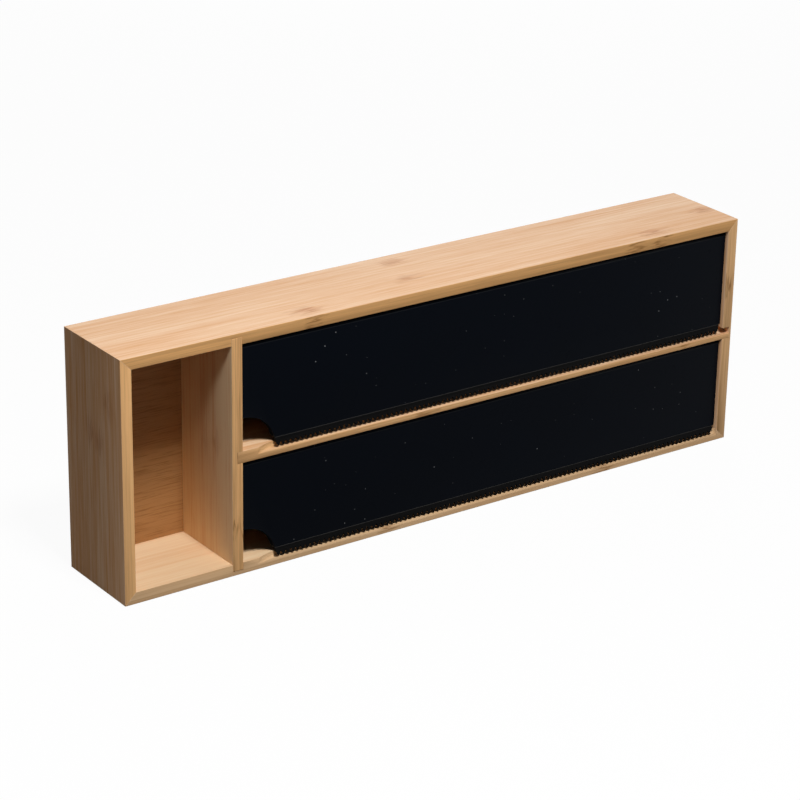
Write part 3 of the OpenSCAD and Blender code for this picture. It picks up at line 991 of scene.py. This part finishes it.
class DISPENSER_OT_stage(Operator):
    """Sets up the camera, the lights, the floor and the white surroundings"""

    bl_idname = "dispenser.stage"
    bl_label = "Stage"

    def execute(self, context):
        settings = context.scene.dispenser.stage
        self.make_camera(context, settings)
        self.make_world(context, settings)
        self.make_floor(settings)
        middle = (CAD_BOX[0] + CAD_BOX[1]) / 2
        left_end = Vector((CAD_BOX[0].x, middle.y, middle.z))
        for name, target in (("key", left_end), ("side", middle), ("rear", middle)):
            self.make_light(name, settings, target)
        context.scene.view_settings.view_transform = "Standard"
        return {"FINISHED"}

    def make_camera(self, context, settings):
        """The camera, at the place and angle of the photograph's."""
        data = bpy.data.cameras.new("photo_camera")
        data.sensor_width = settings.sensor
        data.lens = settings.lens
        data.clip_start = 0.05
        camera = new_object("photo_camera", data)
        flat = cos(settings.elevation)
        back = Vector((
            sin(settings.azimuth) * flat,
            -cos(settings.azimuth) * flat,
            sin(settings.elevation),
        ))
        camera.rotation_mode = "QUATERNION"
        level = (-back).to_track_quat("-Z", "Y")
        camera.rotation_quaternion = level @ Quaternion((0, 0, 1), settings.roll)
        camera.location = settings.camera_place
        context.scene.camera = camera

    def make_light(self, name, settings, target):
        """A soft rectangular light aimed at a point."""
        data = bpy.data.lights.new(name + "_light", "AREA")
        data.shape = "RECTANGLE"
        data.size, data.size_y = getattr(settings, name + "_size")
        data.energy = getattr(settings, name + "_power")
        light = new_object(name + "_light", data)
        light.location = getattr(settings, name + "_place")
        light.rotation_euler = (target - light.location).to_track_quat("-Z", "Y").to_euler()

    def seen_directly(self, nodes):
        """1 for what the camera sees, also in gloss and through glass, and 0 for bounced light."""
        path = nodes.add("ShaderNodeLightPath").outputs
        mirrored = nodes.math("MAXIMUM", path["Is Glossy Ray"], path["Is Transmission Ray"])
        return nodes.math("MAXIMUM", path["Is Camera Ray"], mirrored)

    def make_world(self, context, settings):
        """Soft light from all round, white to the eye."""
        world = bpy.data.worlds.new("white_surroundings")
        world.use_nodes = True
        nodes = Nodes(world.node_tree)
        nodes.dress(world.node_tree.nodes["Background"], {
            "Color": (1, 1, 1),
            "Strength": nodes.ramp(self.seen_directly(nodes), 0.0, 1.0, to=(settings.ambient, 1.0)),
        })
        context.scene.world = world

    def make_floor(self, settings):
        """A wide floor a hair below the case."""
        half_width = 6.0
        drop = 0.1 * MM
        mesh = bpy.data.meshes.new("floor")
        shape = bmesh.new()
        level = Matrix.Translation((0, 0, CAD_BOX[0].z - drop))
        bmesh.ops.create_grid(shape, x_segments=1, y_segments=1, size=half_width, matrix=level)
        shape.to_mesh(mesh)
        shape.free()
        mesh.materials.append(self.floor_material(settings))
        new_object("floor", mesh)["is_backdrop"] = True

    def floor_material(self, settings):
        """White to the eye but for the object's shadow."""
        nodes = Finish("floor_white")
        seen = self.seen_directly(nodes)
        white = nodes.result("ShaderNodeEmission", {"Color": (1, 1, 1), "Strength": 1.0})
        part_white = nodes.math("MULTIPLY", seen, settings.floor_white)
        mixed = nodes.result("ShaderNodeMixShader", {0: part_white, 1: nodes.shader.outputs[0], 2: white})
        nodes.dress(nodes.tree.nodes["Material Output"], {"Surface": mixed})
        tone = nodes.ramp(seen, 0.0, 1.0, to=(settings.floor_tone, settings.floor_shown))
        return nodes.surface({
            "Base Color": nodes.join(tone, tone, tone), "Roughness": 1.0, "Specular IOR Level": 0.0,
        })


class DISPENSER_OT_boards(Operator):
    """Makes the bamboo boards of the case, with eased edges and fine joint lines"""

    bl_idname = "dispenser.boards"
    bl_label = "Bamboo boards"

    def execute(self, context):
        bamboo = context.scene.dispenser.bamboo

        def width_of(edge):
            return bamboo.hairline if self.at_joint(edge) else bamboo.ease

        for board in BOARDS:
            dress_node(board.node, "bamboo", width_of, bamboo_material(board, bamboo), CASE, "bamboo")
        dress_node(
            "back_panel", "bamboo", lambda edge: bamboo.hairline, back_material(bamboo), CASE, "back_bamboo"
        )
        self.clad_splines(bamboo)
        return {"FINISHED"}

    def at_joint(self, edge):
        """Whether an edge is too short to round, or runs down a mitre on the case's front or rear."""
        short = 6 * MM
        if edge.calc_length() < short:
            return True
        # At 45 degrees a face has 0.71 of its normal along X
        slanted = any(0.6 < abs(face.normal.x) < 0.8 for face in edge.link_faces)
        upright = any(abs(face.normal.y) > 0.9 for face in edge.link_faces)
        return slanted and upright

    def clad_splines(self, bamboo):
        """The slips inside the mitres keep their plain shape."""
        material = spline_material(bamboo)
        for height in ("top", "bottom"):
            for side in SIDES:
                clad(f"{height}_{side}_spline", material)


class DISPENSER_OT_flaps(Operator):
    """Makes the two black flaps with softened edges"""

    bl_idname = "dispenser.flaps"
    bl_label = "Flaps"

    def execute(self, context):
        flaps = context.scene.dispenser.flaps
        material = flap_material(flaps)
        short = 2 * MM

        def width_of(edge):
            return flaps.ease if edge.calc_length() > short else 0.0

        for bay, body in BAYS.items():
            dress_node(bay + "_flap", "black", width_of, material, body, "black_flap")
        return {"FINISHED"}


class DISPENSER_OT_strips(Operator):
    """Makes the toothed tear strips along the feet of the flaps"""

    bl_idname = "dispenser.strips"
    bl_label = "Tear strips"

    def execute(self, context):
        strips = context.scene.dispenser.strips
        tree = strip_tree()
        material = strip_material(strips)
        for bay, body in BAYS.items():
            piece = grow(bay + "_tear_strip", tree, self.sizes(bay, strips) | {"Material": material})
            add_bevel(piece, strips.ease, segments=2)
            seat(settle(piece), body, "black_strip", bay + "_cutter")
        return {"FINISHED"}

    def sizes(self, bay, strips):
        """The tree's inputs for one bay, from the construction's boxes and the settings."""
        low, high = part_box(bay + "_cutter")
        notch_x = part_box(bay + "_flap")[0].x
        cut_off = notch_x + strips.notch_r - strips.pitch
        count = floor((high.x - cut_off) / strips.pitch)
        step = (high.x - cut_off) / count
        return {
            "Start": cut_off + step, "Step": step, "Teeth": count - 1,
            "Front": low.y, "Back": high.y, "Tip": low.z, "Top": high.z,
            "Tooth Height": strips.tooth_h, "Tip Thickness": strips.tip_t, "Shoulder": strips.shoulder,
            "Tongue Thickness": strips.tongue_t, "Tongue Height": strips.tongue_h,
            "Notch X": notch_x, "Notch Radius": strips.notch_r,
        }


class DISPENSER_OT_pins(Operator):
    """Gives the hinge pins their drawn steel"""

    bl_idname = "dispenser.pins"
    bl_label = "Hinge pins"

    def execute(self, context):
        material = steel_material(context.scene.dispenser.hardware)
        for bay in BAYS:
            for side in SIDES:
                clad(f"{bay}_{side}_pin", material)
        return {"FINISHED"}


class DISPENSER_OT_plates(Operator):
    """Makes the keyhole plates on the back"""

    bl_idname = "dispenser.plates"
    bl_label = "Wall plates"

    def execute(self, context):
        hardware = context.scene.dispenser.hardware
        material = zinc_material(hardware)
        for side in SIDES:
            dress_node(
                side + "_hanger", "zinc", lambda edge: hardware.plate_ease, material, CASE, "zinc_steel"
            )
        return {"FINISHED"}


class DISPENSER_OT_screws(Operator):
    """Makes the screws that hold the keyhole plates"""

    bl_idname = "dispenser.screws"
    bl_label = "Plate screws"

    def execute(self, context):
        hardware = context.scene.dispenser.hardware
        nodes = [side + "_hanger_screws" for side in SIDES]
        values = self.sizes(nodes, hardware) | {"Material": zinc_material(hardware)}
        seat(settle(grow("hanger_screws_zinc", screw_tree(), values)), CASE, "zinc_steel", *nodes)
        return {"FINISHED"}

    def sizes(self, nodes, hardware):
        """The tree's inputs, from the construction's boxes and the settings."""
        low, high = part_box(nodes[0])
        last_low, last_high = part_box(nodes[1])
        return {
            "Head Diameter": hardware.head_d, "Head Height": hardware.head_h, "Dome": hardware.dome,
            "Shank Diameter": hardware.shank_d, "Shank Length": high.y - low.y - hardware.head_h,
            "Cross Length": hardware.cross_len, "Cross Width": hardware.cross_w,
            "Cross Depth": hardware.cross_depth,
            "Spacing X": last_low.x - low.x, "Spacing Z": high.z - low.z - hardware.head_d,
            "Middle X": (low.x + last_high.x) / 2, "Middle Z": (low.z + high.z) / 2,
            "Seat Y": high.y - hardware.head_h,
        }


OPERATORS = (
    DISPENSER_OT_stage,
    DISPENSER_OT_boards,
    DISPENSER_OT_flaps,
    DISPENSER_OT_strips,
    DISPENSER_OT_pins,
    DISPENSER_OT_plates,
    DISPENSER_OT_screws,
)


class DISPENSER_PT_sidebar(Panel):
    """Lists the dispenser's settings and its makers"""

    bl_idname = "DISPENSER_PT_sidebar"
    bl_label = "Dispenser"
    bl_space_type = "VIEW_3D"
    bl_region_type = "UI"
    bl_category = "Dispenser"

    def draw(self, context):
        settings = context.scene.dispenser
        for group in settings.__annotations__:
            box = self.layout.box()
            box.label(text=group.capitalize())
            members = getattr(settings, group)
            for name in members.__annotations__:
                box.prop(members, name)
        for operator in OPERATORS:
            self.layout.operator(operator.bl_idname)


CLASSES = (
    BambooSettings, FlapSettings, StripSettings, HardwareSettings, StageSettings, DispenserSettings,
    *OPERATORS, DISPENSER_PT_sidebar,
)


def register():
    """Adds the classes and the scene's settings."""
    for kind in CLASSES:
        bpy.utils.register_class(kind)
    bpy.types.Scene.dispenser = PointerProperty(type=DispenserSettings)


def unregister():
    """Takes the scene's settings and the classes away."""
    del bpy.types.Scene.dispenser
    for kind in reversed(CLASSES):
        bpy.utils.unregister_class(kind)


def main():
    """Makes every piece in order, then works out the dressed model's box and the CAD box."""
    register()
    bpy.ops.dispenser.stage()
    bpy.ops.dispenser.boards()
    bpy.ops.dispenser.flaps()
    bpy.ops.dispenser.strips()
    bpy.ops.dispenser.pins()
    bpy.ops.dispenser.plates()
    bpy.ops.dispenser.screws()
    boxes = {"cad": CAD_BOX, "visual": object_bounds()}
    {name: [list(corner) for corner in box] for name, box in boxes.items()}


if __name__ == "__main__":
    main()
